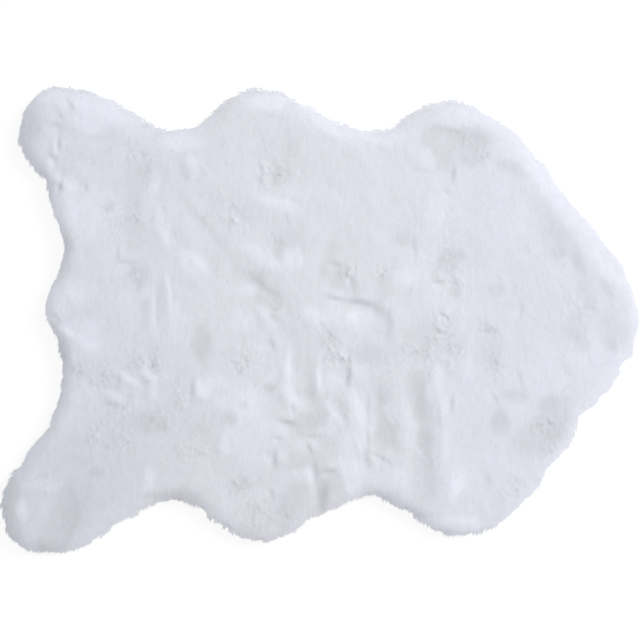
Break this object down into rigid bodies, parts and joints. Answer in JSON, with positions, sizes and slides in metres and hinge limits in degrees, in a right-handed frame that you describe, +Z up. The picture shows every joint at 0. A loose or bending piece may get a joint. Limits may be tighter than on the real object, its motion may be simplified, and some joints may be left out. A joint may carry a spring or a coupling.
{
  "type": "faux sheepskin rug",
  "caption": "Hide-shaped faux sheepskin rug with a dense white pile, lying flat, pile side up; for a floor, bench or chair seat.",
  "frame": {"origin": "centre of the rug's bounding box, on the floor plane under it", "axes": "+X along the rug's length to its rounded snout end, +Y across it, +Z up out of the pile"},
  "size_m": [0.9, 0.6596, 0.0294],
  "materials": {
    "pile": "brushed deep pile, soft and matt"
  },
  "bodies": {
    "root": {"rug": "pile"}
  },
  "joints": []
}
